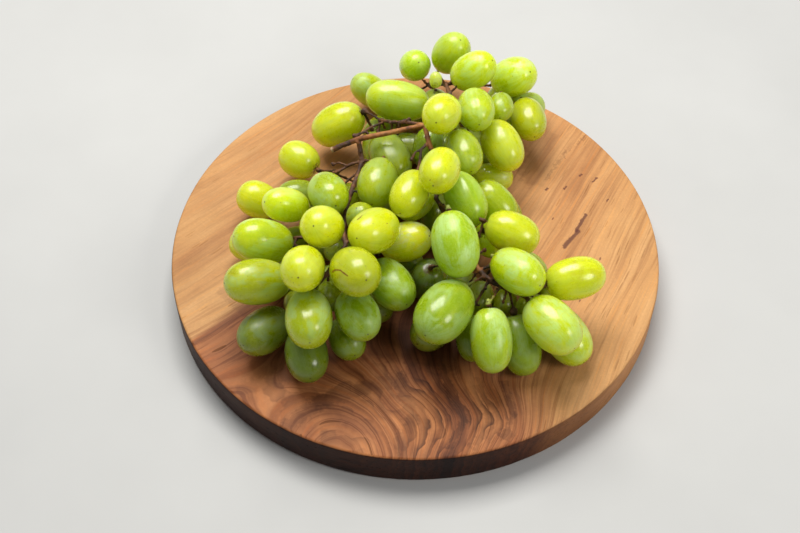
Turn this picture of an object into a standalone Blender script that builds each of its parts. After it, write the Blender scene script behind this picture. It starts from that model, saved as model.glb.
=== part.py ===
"""Bunch of green table grapes resting on a round wooden board.

Metres, +Z up. The origin is the centre of the board's underside, so the board stands on z = 0.
The layout tables are in millimetres, with heights measured up from the top of the board.
The bunch's cut stalk points to -X; the crown of the bunch is to +Y and its two shoulders to -Y.
"""
import math

import bmesh
import bpy
import numpy as np
from mathutils import Vector

MM = 0.001

# Board
BOARD_DIAMETER = 250.0
BOARD_THICKNESS = 20.0
BOARD_EDGE = 1.0
BOARD_EDGE_STEPS = 2
BOARD_SIDES = 84
SHARP_ANGLE = math.radians(40)

# Berries
BERRY_SIDES = 14
BERRY_RINGS = 9
BERRY_GAP = 0.45
BERRY_ROUNDS = 400
BERRY_EASE = 0.5
BERRY_RETURN = 0.02

# Stem
STEM_GAP = 0.35
ARM_SIDES = 8
TWIG_SIDES = 6
TWIG_RADIUS = 1.15
BRANCH_STEP = 9.0
PEDICEL_RADIUS = 0.65
PEDICEL_ROOT_RADIUS = 0.8
PEDICEL_NECK = 0.9
PEDICEL_COLLAR = 1.35
PEDICEL_COLLAR_HEIGHT = 1.0
PEDICEL_LEAD = 4.0
PEDICEL_ROUNDS = 240
PEDICEL_STATIONS = 6
BLOCKED_COST = 5.0

# Berries of the crown: centre x, y and height, length, width, heading of the tip and its rise in degrees.
CROWN = {
    "grape_crown_01": (-41, 67, 20, 31, 23, -173, -30),
    "grape_crown_02": (-24, 100, 13, 26, 18, 175, 40),
    "grape_crown_03": (-9, 75, 30, 35, 22, 175, 10),
    "grape_crown_04": (1, 111, 22, 24, 18, -75, 50),
    "grape_crown_05": (20, 112, 30, 29, 21, -40, 65),
    "grape_crown_06": (31, 83, 44, 28, 20, -15, 45),
    "grape_crown_07": (54, 93, 30, 31, 22, -45, 45),
    "grape_crown_08": (11, 75, 45, 9, 7, 90, 65),
    "grape_crown_09": (13, 37, 58, 27, 20, -105, 25),
    "grape_crown_10": (31, 51, 47, 27, 20, -85, 10),
    "grape_crown_11": (45, 64, 36, 18, 14, -95, 5),
    "grape_crown_12": (61, 68, 23, 27, 19, -80, 0),
    "grape_crown_13": (62, 89, 11, 22, 18, 20, -10),
    "grape_crown_14": (45, 41, 31, 30, 21, -65, -15),
    "grape_crown_15": (24, 24, 44, 27, 19, -75, 0),
    "grape_crown_16": (11, -3, 60, 28, 20, -105, 15),
    "grape_crown_17": (-13, 36, 27, 32, 22, -70, -5),
    "grape_crown_18": (7, 42, 28, 23, 17, -100, -25),
    "grape_crown_19": (-19, 10, 37, 29, 21, -100, 0),
    "grape_crown_20": (-3, -5, 46, 27, 19, -110, 0),
    "grape_crown_21": (0, 7, 28, 27, 19, -120, 5),
    "grape_crown_22": (24, -5, 42, 30, 20, -65, -15),
    "grape_crown_23": (40, 6, 26, 27, 19, -40, -25),
    "grape_crown_24": (41, 36, 12, 22, 16, -5, 5),
}

# Berries of the right-hand tail.
RIGHT = {
    "grape_right_01": (18, -39, 49, 33, 23, -80, -20),
    "grape_right_02": (46, -24, 39, 27.5, 21, -20, -12),
    "grape_right_03": (47, -49, 41, 30, 21, -50, 15),
    "grape_right_04": (75, -46, 32, 30, 21, 14, 0),
    "grape_right_05": (13, -67, 34, 37, 26, -120, 10),
    "grape_right_06": (34, -77, 26, 31, 20, -85, -35),
    "grape_right_07": (49, -71, 13, 30, 20, -75, -40),
    "grape_right_08": (62, -73, 32, 32, 23, -55, 0),
    "grape_right_09": (71, -65, 12, 32, 22, -60, -10),
    "grape_right_10": (8, -60, 11, 27, 20, -125, 10),
    "grape_right_11": (27, -66, 11, 23, 17, -85, -20),
    "grape_right_12": (6, -35, 16, 29, 20, 100, -75),
    "grape_right_13": (37, -13, 20, 24, 17, 40, -65),
    "grape_right_14": (56, -30, 18, 20, 16, -65, 10),
}

# Berries of the left-hand shoulder.
LEFT = {
    "grape_left_01": (-61, 45, 16, 23, 20, 144, 0),
    "grape_left_02": (-80, 19, 14, 23, 20, 165, 20),
    "grape_left_03": (-64, -2, 34, 26, 18, -155, 35),
    "grape_left_04": (-61, 18, 18, 23, 17, -165, 15),
    "grape_left_05": (-43, 1, 39, 27, 20, -70, 20),
    "grape_left_06": (-44, -31, 52, 29, 21, -110, 50),
    "grape_left_07": (-26, -13, 35, 22, 16, -160, 75),
    "grape_left_08": (-20, -32, 50, 31, 22, -125, 30),
    "grape_left_09": (-5, -23, 31, 29, 20, -15, 35),
    "grape_left_10": (-74, -24, 33, 31, 22, -165, 30),
    "grape_left_11": (-82, -10, 12, 24, 18, 175, 10),
    "grape_left_12": (-75, -48, 32, 33, 23, -160, 20),
    "grape_left_13": (-52, -55, 51, 28, 21, -95, 35),
    "grape_left_14": (-28, -58, 53, 32, 23, -65, 35),
    "grape_left_15": (-12, -48, 30, 30, 21, -60, 5),
    "grape_left_16": (-72, -63, 13, 32, 22, -125, 20),
    "grape_left_17": (-49, -70, 33, 32, 23, -85, 10),
    "grape_left_18": (-28, -67, 32, 31, 21, -70, 15),
    "grape_left_19": (-52, -75, 12, 30, 21, -80, 5),
    "grape_left_20": (-33, -66, 11, 24, 18, -70, 10),
}

# Branches of the stem: root radius, end radius and the points each one passes through.
BRANCHES = {
    "stalk": (1.5, 1.3, [(-43, 36, 33), (-36, 37, 36), (-29, 38, 39), (-15, 38, 43), (-2, 40, 45),
                         (6, 42, 45), (12, 47, 43), (18, 54, 39)]),
    "crown arm": (1.25, 1.0, [(18, 54, 39), (21, 63, 36), (19, 74, 35), (17, 84, 33), (15, 94, 24),
                              (10, 103, 13), (8, 109, 9)]),
    "crown side arm": (1.05, 0.8, [(17, 84, 33), (23, 93, 26), (33, 99, 19), (43, 101, 16)]),
    "crown right arm": (1.2, 0.8, [(18, 54, 39), (28, 53, 33), (38, 60, 27), (49, 73, 24)]),
    "crown low arm": (0.9, 0.8, [(28, 53, 33), (27, 46, 24), (26, 38, 15)]),
    "bracket": (1.1, 0.9, [(5, 42, 45), (-4, 46, 43), (-12, 51, 38), (-19, 58, 33)]),
    "bracket spur": (0.8, 0.75, [(-16, 55, 34), (-23, 49, 36), (-29, 44, 36)]),
    "left arm": (1.35, 1.2, [(-29, 38, 39), (-28, 34, 34), (-27, 30, 31), (-29, 23, 29), (-32, 12, 29),
                             (-34, 1, 31), (-35, -9, 32), (-35, -18, 32), (-34, -26, 32), (-37, -34, 31),
                             (-42, -40, 29), (-48, -46, 26), (-56, -52, 20)]),
    "left spur": (0.9, 0.8, [(-27, 30, 31), (-33, 29, 30), (-40, 25, 28)]),
    "left upper arm": (0.95, 0.8, [(-33, 8, 30), (-40, 3, 26), (-50, 2, 23), (-58, 5, 20), (-66, 7, 14)]),
    "left outer arm": (1.0, 0.8, [(-35, -18, 32), (-46, -18, 28), (-57, -16, 26), (-66, -15, 23)]),
    "left inner arm": (1.0, 0.8, [(-42, -40, 29), (-36, -44, 25), (-31, -47, 21)]),
    "spine": (1.35, 1.1, [(5, 42, 45), (6, 36, 43), (8, 29, 41), (11, 18, 40), (11, 8, 39), (10, -2, 39),
                          (14, -7, 34), (20, -14, 30), (25, -25, 28), (30, -37, 27), (36, -44, 27),
                          (43, -48, 26), (49, -47, 23), (56, -47, 20)]),
    "spine spur": (0.95, 0.8, [(7, 33, 42), (3, 29, 41), (2, 21, 38)]),
    "right spur": (0.8, 0.75, [(30, -37, 27), (37, -36, 29)]),
}

WOOD_COLOUR = (0.50, 0.27, 0.12)
STEM_COLOUR = (0.20, 0.10, 0.045)
SHADED_GREEN = (0.24, 0.36, 0.05)
SUNLIT_GREEN = (0.52, 0.60, 0.08)
SUNLIT_HEIGHT = 55.0


def clear_scene():
    """Empty the file."""
    for item in list(bpy.data.objects):
        bpy.data.objects.remove(item, do_unlink=True)


def principled(name, colour, roughness, metallic=0.0):
    """Make one Principled material."""
    material = bpy.data.materials.new(name)
    material.use_nodes = True
    shader = material.node_tree.nodes["Principled BSDF"]
    shader.inputs["Base Color"].default_value = (*colour, 1.0)
    shader.inputs["Roughness"].default_value = roughness
    shader.inputs["Metallic"].default_value = metallic
    return material


def make_object(name, work, material, holder=None):
    """Make an object from the worked mesh, facing out, and hang it on its holder."""
    bmesh.ops.recalc_face_normals(work, faces=work.faces)
    mesh = bpy.data.meshes.new(name)
    work.to_mesh(mesh)
    work.free()
    mesh.materials.append(material)
    item = bpy.data.objects.new(name, mesh)
    bpy.context.scene.collection.objects.link(item)
    item.parent = holder
    return item


def heading_vector(heading, rise):
    """Give the unit vector at a compass heading and a rise above level, both in degrees."""
    level = math.cos(math.radians(rise))
    return np.array([
        level * math.cos(math.radians(heading)),
        level * math.sin(math.radians(heading)),
        math.sin(math.radians(rise)),
    ])


class Berry:
    """One grape: a spheroid with a stem end and a tip."""

    def __init__(self, name, row):
        x, y, height, length, width, heading, rise = row
        self.name = name
        self.centre = np.array([x, y, height + BOARD_THICKNESS], dtype=float)
        self.home = self.centre.copy()
        self.length = float(length)
        self.width = float(width)
        self.axis = heading_vector(heading, rise)
        half_length = self.length / 2
        half_width = self.width / 2
        along = np.outer(self.axis, self.axis)
        self.shape = half_width ** 2 * np.eye(3) + (half_length ** 2 - half_width ** 2) * along
        self.inverse = np.linalg.inv(self.shape)
        self.half_height = math.sqrt(self.shape[2, 2])

    def stem_end(self, gap=0.0):
        """Give the point a gap off the stem end."""
        return self.centre - self.axis * (self.length / 2 + gap)

    def clearance(self, points):
        """Give the distance of each point from the skin and the way out from it."""
        offset = points - self.centre
        pull = offset @ self.inverse
        reach = np.sqrt(np.einsum("ij,ij->i", offset, pull))
        steepness = np.linalg.norm(pull, axis=1)
        distance = reach * (reach - 1.0) / steepness
        return distance, pull / steepness[:, None]


def pair_push(first, second):
    """Give how far two berries must part, and the direction from the first to the second."""
    offset = second.centre - first.centre
    if np.linalg.norm(offset) > (first.length + second.length) / 2 + BERRY_GAP:
        return 0.0, offset
    best = 0.0
    pull = offset
    for share in np.linspace(0.05, 0.95, 19):
        mix = (1 - share) * first.shape + share * second.shape
        lean = np.linalg.solve(mix, offset)
        contact = share * (1 - share) * float(offset @ lean)
        if contact > best:
            best = contact
            pull = lean
    normal = pull / np.linalg.norm(pull)
    spread = float(offset @ normal)
    return spread * (1 / math.sqrt(best) - 1) + BERRY_GAP, normal


def ease_berries(berries, stem_points, stem_radii):
    """Part berries that touch each other, the branches or the board, keeping each near its place."""
    for _ in range(BERRY_ROUNDS):
        pushes = {berry.name: np.zeros(3) for berry in berries}
        worst = 0.0
        for place, first in enumerate(berries):
            for second in berries[place + 1:]:
                depth, normal = pair_push(first, second)
                if depth > 0:
                    worst = max(worst, depth)
                    pushes[first.name] -= normal * depth / 2
                    pushes[second.name] += normal * depth / 2
            distance, outward = first.clearance(stem_points)
            lack = stem_radii + STEM_GAP - distance
            tight = int(np.argmax(lack))
            if lack[tight] > 0:
                worst = max(worst, lack[tight])
                pushes[first.name] -= outward[tight] * lack[tight]
        for berry in berries:
            home = (berry.home - berry.centre) * BERRY_RETURN
            berry.centre += pushes[berry.name] * BERRY_EASE + (home if worst > BERRY_GAP / 2 else 0.0)
            lowest = BOARD_THICKNESS + berry.half_height + BERRY_GAP
            berry.centre[2] = max(berry.centre[2], lowest)
        if worst < BERRY_GAP / 8:
            break


def smooth_route(points, step):
    """Run a smooth curve through the points and sample it about every step."""
    control = [np.array(point, dtype=float) for point in points]
    control = [2 * control[0] - control[1], *control, 2 * control[-1] - control[-2]]
    route = []
    for index in range(1, len(control) - 2):
        before, start, end, after = control[index - 1:index + 3]
        count = max(1, round(float(np.linalg.norm(end - start)) / step))
        for part in range(count):
            t = part / count
            route.append(0.5 * (
                2 * start
                + (end - before) * t
                + (2 * before - 5 * start + 4 * end - after) * t ** 2
                + (3 * start - before - 3 * end + after) * t ** 3
            ))
    route.append(control[-2])
    return np.array(route)


def branch_routes():
    """Give each branch's points above the underside of the board and its radii."""
    routes = {}
    for name, (root_radius, end_radius, points) in BRANCHES.items():
        lifted = [(x, y, height + BOARD_THICKNESS) for x, y, height in points]
        route = smooth_route(lifted, BRANCH_STEP)
        routes[name] = (route, np.linspace(root_radius, end_radius, len(route)))
    return routes


def dense(route, radii, step=1.5):
    """Sample a route closely."""
    points = []
    sizes = []
    for start, end, first, last in zip(route[:-1], route[1:], radii[:-1], radii[1:]):
        count = max(1, round(float(np.linalg.norm(end - start)) / step))
        for part in range(count):
            points.append(start + (end - start) * part / count)
            sizes.append(first + (last - first) * part / count)
    points.append(route[-1])
    sizes.append(radii[-1])
    return np.array(points), np.array(sizes)


def pick_root(berry, berries, stem_points):
    """Choose where on the branches a berry's pedicel springs from: near, and with few berries in the way."""
    start = berry.stem_end(PEDICEL_LEAD)
    order = np.argsort(np.linalg.norm(stem_points - start, axis=1))
    best = None
    for index in order[:60]:
        root = stem_points[index]
        line = start + (root - start) * np.linspace(0, 1, 12)[:, None]
        blocked = sum(int(np.sum(other.clearance(line)[0] < PEDICEL_RADIUS)) for other in berries)
        cost = float(np.linalg.norm(root - start)) + BLOCKED_COST * blocked
        if best is None or cost < best[0]:
            best = (cost, root)
    return best[1]


def lead_pedicel(berry, berries, stem_points):
    """Lead a pedicel from its branch to the berry, easing it round the berries in the way."""
    root = pick_root(berry, berries, stem_points)
    end = berry.stem_end(STEM_GAP)
    neck = berry.stem_end(STEM_GAP + PEDICEL_COLLAR_HEIGHT)
    lead = berry.stem_end(STEM_GAP + PEDICEL_LEAD)
    span = float(np.linalg.norm(lead - root))
    count = max(PEDICEL_STATIONS, round(span / 2))
    bend = [root + (lead - root) * t for t in np.linspace(0, 1, count)]
    route = np.array([*bend, neck])
    floor = BOARD_THICKNESS + PEDICEL_NECK + STEM_GAP
    for _ in range(PEDICEL_ROUNDS):
        middle = (route[:-2] + route[2:]) / 2
        route[1:-1] += (middle - route[1:-1]) * 0.35
        shift = np.zeros_like(route)
        for other in berries:
            distance, outward = other.clearance(route)
            lack = np.maximum(PEDICEL_NECK + STEM_GAP - distance, 0.0)
            shift += outward * lack[:, None]
        route[1:-1] += shift[1:-1]
        route[1:-1, 2] = np.maximum(route[1:-1, 2], floor)
    return np.array([*thin_out(route[:-1]), neck, end])


def thin_out(route):
    """Keep the stations of a route that matter to its shape."""
    step = max(1, round((len(route) - 1) / (PEDICEL_STATIONS - 2)))
    kept = [*range(0, len(route) - 1, step), len(route) - 1]
    if len(kept) > 2 and kept[-1] - kept[-2] < step / 2:
        kept.pop(-2)
    return route[kept]


def pedicel_radii(count):
    """Give a pedicel's radii: a swollen root, a thin middle and a collar under the berry."""
    radii = np.full(count, PEDICEL_RADIUS)
    radii[0] = PEDICEL_ROOT_RADIUS
    radii[-2] = PEDICEL_NECK
    radii[-1] = PEDICEL_COLLAR
    return radii


def tube(name, route, radii, sides, material):
    """Make a closed tube along a route, given in millimetres."""
    work = bmesh.new()
    ahead = [Vector(direction).normalized() for direction in np.gradient(route, axis=0)]
    side = ahead[0].orthogonal().normalized()
    rings = []
    for station, direction in enumerate(ahead):
        side = (side - direction * side.dot(direction)).normalized()
        across = direction.cross(side)
        ring = []
        for turn in range(sides):
            angle = 2 * math.pi * turn / sides
            offset = (side * math.cos(angle) + across * math.sin(angle)) * float(radii[station])
            ring.append(work.verts.new((Vector(route[station]) + offset) * MM))
        rings.append(ring)
    for lower, upper in zip(rings[:-1], rings[1:]):
        for turn in range(sides):
            after = (turn + 1) % sides
            work.faces.new((lower[turn], lower[after], upper[after], upper[turn]))
    work.faces.new(rings[0])
    work.faces.new(rings[-1])
    return make_object(name, work, material)


def unite(base, addition):
    """Join the addition to the base as one closed body."""
    modifier = base.modifiers.new("unite", "BOOLEAN")
    modifier.operation = "UNION"
    modifier.solver = "EXACT"
    modifier.object = addition
    bpy.context.view_layer.objects.active = base
    bpy.ops.object.modifier_apply(modifier=modifier.name)
    bpy.data.objects.remove(addition, do_unlink=True)


def make_stem(routes, pedicels, holder):
    """Grow the stem: its branches and a pedicel for each berry, in one closed body."""
    material = principled("stem", STEM_COLOUR, 0.7)
    pieces = []
    for name, (route, radii) in routes.items():
        sides = ARM_SIDES if radii[0] > TWIG_RADIUS else TWIG_SIDES
        pieces.append(tube(name, route, radii, sides, material))
    for route in pedicels:
        pieces.append(tube("pedicel", route, pedicel_radii(len(route)), TWIG_SIDES, material))
    stem = pieces[0]
    for piece in pieces[1:]:
        unite(stem, piece)
    stem.name = "stem"
    stem.data.name = "stem"
    stem.parent = holder
    stem.data.shade_smooth()


def berry_colour(berry):
    """Give a berry's skin colour: yellower where it sits high in the light."""
    height = berry.centre[2] - BOARD_THICKNESS
    share = min(1.0, max(0.0, height / SUNLIT_HEIGHT))
    return tuple(low + (high - low) * share for low, high in zip(SHADED_GREEN, SUNLIT_GREEN))


def make_berry(berry, holder):
    """Make one berry as a spheroid stood on its own axis, the lower pole at its stem end."""
    work = bmesh.new()
    bmesh.ops.create_uvsphere(work, u_segments=BERRY_SIDES, v_segments=BERRY_RINGS, radius=0.5)
    bmesh.ops.scale(work, verts=work.verts, vec=Vector((berry.width, berry.width, berry.length)) * MM)
    item = make_object(berry.name, work, principled(berry.name, berry_colour(berry), 0.25), holder)
    item.location = Vector(berry.centre) * MM
    item.rotation_mode = "QUATERNION"
    item.rotation_quaternion = Vector(berry.axis).to_track_quat("Z", "Y")
    item.data.shade_smooth()


def make_board(holder):
    """Make the round board: a plain disc with eased edges."""
    work = bmesh.new()
    radius = BOARD_DIAMETER / 2 * MM
    bmesh.ops.create_cone(
        work, cap_ends=True, segments=BOARD_SIDES, radius1=radius, radius2=radius, depth=BOARD_THICKNESS * MM)
    item = make_object("board", work, principled("board", WOOD_COLOUR, 0.45), holder)
    item.location = (0, 0, BOARD_THICKNESS / 2 * MM)
    item.data.shade_smooth()
    item.data.set_sharp_from_angle(angle=SHARP_ANGLE)
    easing = item.modifiers.new("eased edges", "BEVEL")
    easing.width = BOARD_EDGE * MM
    easing.segments = BOARD_EDGE_STEPS
    easing.limit_method = "ANGLE"
    easing.angle_limit = SHARP_ANGLE


def lay_out():
    """Settle the berries and lead every pedicel."""
    berries = [Berry(name, row) for group in (CROWN, RIGHT, LEFT) for name, row in group.items()]
    routes = branch_routes()
    samples = [dense(route, radii) for route, radii in routes.values()]
    stem_points = np.concatenate([points for points, _ in samples])
    stem_radii = np.concatenate([radii for _, radii in samples])
    ease_berries(berries, stem_points, stem_radii)
    rooting = np.concatenate([
        dense(route, radii)[0][:-1] for name, (route, radii) in routes.items() if name != "stalk"])
    pedicels = [lead_pedicel(berry, berries, rooting) for berry in berries]
    return berries, routes, pedicels


def main():
    """Build the board, the berries and the stem."""
    clear_scene()
    holder = bpy.data.objects.new("grapes on a board", None)
    bpy.context.scene.collection.objects.link(holder)
    berries, routes, pedicels = lay_out()
    make_board(holder)
    for berry in berries:
        make_berry(berry, holder)
    make_stem(routes, pedicels, holder)


main()
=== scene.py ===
import math
import random

import bmesh
import bpy
import numpy as np
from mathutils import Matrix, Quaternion, Vector, noise


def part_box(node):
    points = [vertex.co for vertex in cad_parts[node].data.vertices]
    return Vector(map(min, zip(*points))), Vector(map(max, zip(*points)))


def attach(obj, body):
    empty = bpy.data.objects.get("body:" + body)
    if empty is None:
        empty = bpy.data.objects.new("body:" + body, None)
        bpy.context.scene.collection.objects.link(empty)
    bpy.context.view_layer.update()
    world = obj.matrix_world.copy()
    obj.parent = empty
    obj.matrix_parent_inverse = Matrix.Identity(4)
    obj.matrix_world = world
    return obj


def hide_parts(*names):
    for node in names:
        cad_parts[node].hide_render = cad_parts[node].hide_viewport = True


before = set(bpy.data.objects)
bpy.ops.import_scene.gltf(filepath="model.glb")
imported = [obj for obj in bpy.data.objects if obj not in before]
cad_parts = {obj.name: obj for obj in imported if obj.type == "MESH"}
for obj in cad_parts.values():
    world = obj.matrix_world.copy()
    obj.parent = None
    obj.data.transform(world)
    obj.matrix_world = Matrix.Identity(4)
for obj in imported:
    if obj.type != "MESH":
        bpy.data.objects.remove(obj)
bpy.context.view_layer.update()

MM = 0.001
BODY = "root"
BOARD_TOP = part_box("board")[1].z


def mm(x, y, height):
    """Give a place in metres from millimetres across and above the board's top."""
    return Vector((x * MM, y * MM, BOARD_TOP + height * MM))


def heading_vector(heading, rise):
    """Give the unit vector at a compass heading and a rise above level, both in degrees."""
    level = math.cos(math.radians(rise))
    return Vector((
        level * math.cos(math.radians(heading)),
        level * math.sin(math.radians(heading)),
        math.sin(math.radians(rise)),
    ))


def grapes(**arms):
    """Give the names of the grapes with these numbers on each arm of the bunch."""
    return {f"grape_{arm}_{number:02d}" for arm, numbers in arms.items() for number in numbers}


# Extra berries deep in the bunch: centre x, y, height above the board, length, width, heading, rise.
DEEP_BERRIES = (
    (-20, 53, 13, 24, 16, -75, -30), (-19, 73, 9, 22, 16, -125, 10), (15, 59, 20, 24, 17, -115, 0),
    (11, 12, 11, 26, 18, -90, 10), (46, 14, 10, 23, 17, -60, -10), (31, -43, 12, 18, 13, -105, -20),
    (43, -42, 8, 16, 13, -100, 0), (53, -47, 11, 17, 13, -115, 5), (65, -36, 8, 17, 13, -60, 20),
    (-20, -46, 12, 23, 17, -60, 15), (-61, -6, 12, 18, 13, -135, 20), (-42, -45, 16, 17, 12, -85, 10),
    (-38, -17, 17, 17, 13, -140, 30), (-35, 21, 12, 20, 14, -110, 5), (-10, 88, 10, 24, 17, 150, 5),
    (12, 92, 9, 23, 17, 100, 5), (33, 84, 12, 24, 18, 60, 10), (28, 66, 12, 24, 17, -20, 0),
    (46, 74, 11, 22, 16, 30, 0), (18, 38, 12, 24, 17, -60, 5), (43, 50, 10, 20, 15, -20, 0),
    (-6, 20, 10, 24, 17, 200, 5), (-20, 30, 10, 24, 17, 180, 5), (-42, 14, 10, 22, 16, 160, 5),
    (-50, -10, 11, 23, 17, 190, 5), (-20, -4, 10, 24, 17, 220, 5), (-40, -32, 11, 23, 17, 200, 5),
    (-62, -30, 11, 24, 17, 170, 5), (-4, -20, 10, 23, 17, -60, 5), (22, -12, 10, 24, 17, -20, 5),
    (20, -32, 10, 22, 16, -40, 5), (-60, -48, 9, 20, 15, 190, 5), (36, -60, 9, 20, 15, -80, 5),
    (42, 90, 10, 22, 16, 60, 5), (0, 58, 12, 24, 17, 170, 5), (28, 14, 12, 24, 17, -30, 5),
)
# How the deep berries settle: the gap they keep, what counts as settled and as squeezed, and how they give.
DEEP_GAP = 0.0003
DEEP_NEAR_BERRY = 0.008
DEEP_NEAR_STEM = 0.010
DEEP_ROUNDS = 160
DEEP_STEP = 0.6
DEEP_SETTLED = 0.00005
DEEP_SQUEEZED = 0.0004
DEEP_SHRINK = 0.996
DEEP_WORST = 0.0006
DEEP_NARROWEST = 0.0085

# Skin colours from unripe to ripe, and the pale colour of the waxy bloom over them, which is also painted on
# the upward faces as sheen.
COOL_GREEN = (0.27, 0.42, 0.008)
MID_GREEN = (0.38, 0.50, 0.005)
GOLDEN = (0.50, 0.56, 0.002)
BLOOM_AND_SHEEN_GREEN = (0.44, 0.64, 0.26)

# Ripeness of the yellower and the greener berries, and of all the others.
RIPER = grapes(crown=(1, 9, 12, 14, 16, 20), left=(1, 2, 6, 8, 12, 13, 14), right=(2, 4))
GREENER = grapes(crown=(4, 18, 22), left=(15, 18, 19, 20), right=(1, 5, 6, 7, 11, 12, 13))
RIPER_LEVEL, GREENER_LEVEL, USUAL_RIPENESS = 0.95, 0.15, 0.55
# Berries with a heavy bloom. Handling has rubbed most of it off the riper ones.
DUSTIER = grapes(crown=(2, 6, 7, 8, 10, 11, 13, 18, 21, 23), left=(5, 7, 9, 10, 12, 15, 16, 17, 18, 20),
                 right=(1, 3, 5, 6, 8, 9, 12, 14))
HEAVY_BLOOM, RUBBED_BLOOM, USUAL_BLOOM = 1.0, 0.30, 0.55
# Painted light and shade: berries painted lighter where the light reaches them and darker where the bunch
# shades them, lightest first.
LIT_AND_SHADED_TONES = (
    (grapes(left=(9,), right=(13,)), 1.75),
    (grapes(crown=(4, 6, 7, 24), left=(3,)), 1.28),
    (grapes(crown=(2, 11, 12, 13, 15, 19, 23), left=(5, 12, 14, 15, 17, 18), right=(5, 7, 14)), 0.76),
    (grapes(crown=(17, 18), left=(4, 7, 20), right=(11,)), 0.56),
    (grapes(left=(16, 19), right=(10, 12)), 0.36),
)
# Painted shade: the deep berries inside the bunch are painted darker.
DEEP_PAINTED_SHADE = 0.48


# ---------------------------------------------------------------- node laying

class Bench:
    """Sets out shader nodes in one tree and joins them."""

    def __init__(self, tree):
        self.tree = tree

    def feed(self, made, feeds):
        """Join or set a node's inputs."""
        for key, value in dict(feeds).items():
            if isinstance(value, bpy.types.NodeSocket):
                self.tree.links.new(value, made.inputs[key])
            else:
                made.inputs[key].default_value = value
        return made

    def put(self, kind, feeds=(), **settings):
        """Lay one node with its settings and its inputs."""
        made = self.tree.nodes.new(kind)
        for name, value in settings.items():
            setattr(made, name, value)
        return self.feed(made, feeds)

    def math(self, operation, first, second=0.0, clamp=False):
        made = self.put("ShaderNodeMath", {0: first, 1: second}, operation=operation, use_clamp=clamp)
        return made.outputs[0]

    def plus(self, first, second):
        return self.math("ADD", first, second)

    def minus(self, first, second, clamp=False):
        return self.math("SUBTRACT", first, second, clamp)

    def times(self, first, second):
        return self.math("MULTIPLY", first, second)

    def vector(self, operation, first, second=(0.0, 0.0, 0.0)):
        made = self.put("ShaderNodeVectorMath", {0: first, 1: second}, operation=operation)
        scalar = operation in ("LENGTH", "DISTANCE", "DOT_PRODUCT")
        return made.outputs["Value" if scalar else "Vector"]

    def scaled(self, vector, share):
        made = self.put("ShaderNodeVectorMath", {0: vector, "Scale": share}, operation="SCALE")
        return made.outputs["Vector"]

    def join(self, x, y, z):
        return self.put("ShaderNodeCombineXYZ", {0: x, 1: y, 2: z}).outputs[0]

    def split(self, vector):
        return self.put("ShaderNodeSeparateXYZ", {0: vector}).outputs

    def red(self, colour):
        return self.put("ShaderNodeSeparateColor", {0: colour}).outputs[0]

    def place(self):
        """Give the place on the piece, in its own frame."""
        return self.put("ShaderNodeTexCoord").outputs["Object"]

    def upward(self):
        """Give how far the surface faces up."""
        return self.split(self.put("ShaderNodeNewGeometry").outputs["Normal"])[2]

    def attribute(self, name):
        return self.put("ShaderNodeAttribute", attribute_name=name).outputs["Fac"]

    def smooth(self, value, low, high, start=0.0, end=1.0):
        feeds = {0: value, 1: low, 2: high, 3: start, 4: end}
        return self.put("ShaderNodeMapRange", feeds, interpolation_type="SMOOTHSTEP").outputs[0]

    def blend(self, share, first, second, blend_type="MIX"):
        """Blend two colours, each a socket or plain red, green and blue."""
        first, second = (colour if isinstance(colour, bpy.types.NodeSocket) else (*colour, 1.0)
                         for colour in (first, second))
        feeds = {0: share, 6: first, 7: second}
        made = self.put("ShaderNodeMix", feeds, data_type="RGBA", blend_type=blend_type)
        return made.outputs[2]

    def paint(self, body, mask, strength, colour):
        """Lay a colour over the body where the mask shows."""
        return self.blend(self.times(mask, strength), body, colour)

    def tint(self, body, mask, strength, colour):
        """Multiply the body by a colour where the mask shows."""
        return self.blend(self.times(mask, strength), body, colour, "MULTIPLY")

    def noise(self, vector, scale, detail=2.0, roughness=0.5, distortion=0.0):
        feeds = {"Vector": vector, "Scale": scale, "Detail": detail, "Roughness": roughness,
                 "Distortion": distortion}
        return self.put("ShaderNodeTexNoise", feeds).outputs[0]

    def ramp(self, value, stops):
        made = self.put("ShaderNodeValToRGB", {0: value})
        line = made.color_ramp
        while len(line.elements) < len(stops):
            line.elements.new(0.5)
        for element, (place, colour) in zip(line.elements, stops):
            element.position = place
            element.color = (*colour, 1.0)
        return made.outputs[0]

    def group(self, tree, **feeds):
        made = self.tree.nodes.new("ShaderNodeGroup")
        made.node_tree = tree
        return self.feed(made, feeds).outputs[0]


def new_group(name, output, **inputs):
    """Start a node group. An input is a number where a number is given, and otherwise a vector."""
    tree = bpy.data.node_groups.new(name, "ShaderNodeTree")
    for label, value in inputs.items():
        kind = "NodeSocketFloat" if isinstance(value, float) else "NodeSocketVector"
        socket = tree.interface.new_socket(label, in_out="INPUT", socket_type=kind)
        if value is not None:
            socket.default_value = value
    tree.interface.new_socket(output, in_out="OUTPUT", socket_type="NodeSocketFloat")
    entry = tree.nodes.new("NodeGroupInput")
    leave = tree.nodes.new("NodeGroupOutput")
    return Bench(tree), entry.outputs, leave


def end_group(bench, value, leave):
    """Give the group's value out."""
    bench.tree.links.new(value, leave.inputs[0])
    return bench.tree


def patches_group():
    """Soft-edged patches: a broken mask for bloom, stains and weathering."""
    bench, feed, leave = new_group("patches", "Mask", Vector=None, Scale=100.0, Low=0.45, High=0.6)
    field = bench.noise(feed["Vector"], feed["Scale"], 4.0, 0.6, 0.4)
    return end_group(bench, bench.smooth(field, feed["Low"], feed["High"]), leave)


def specks_group():
    """Scattered small dots: pores and freckles."""
    bench, feed, leave = new_group("specks", "Mask", Vector=None, Scale=500.0, Size=0.2, Share=0.3)
    cells = bench.put("ShaderNodeTexVoronoi", {"Vector": feed["Vector"], "Scale": feed["Scale"]})
    dot = bench.math("LESS_THAN", cells.outputs["Distance"], feed["Size"])
    kept = bench.math("LESS_THAN", bench.red(cells.outputs["Color"]), feed["Share"])
    return end_group(bench, bench.times(dot, kept), leave)


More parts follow.
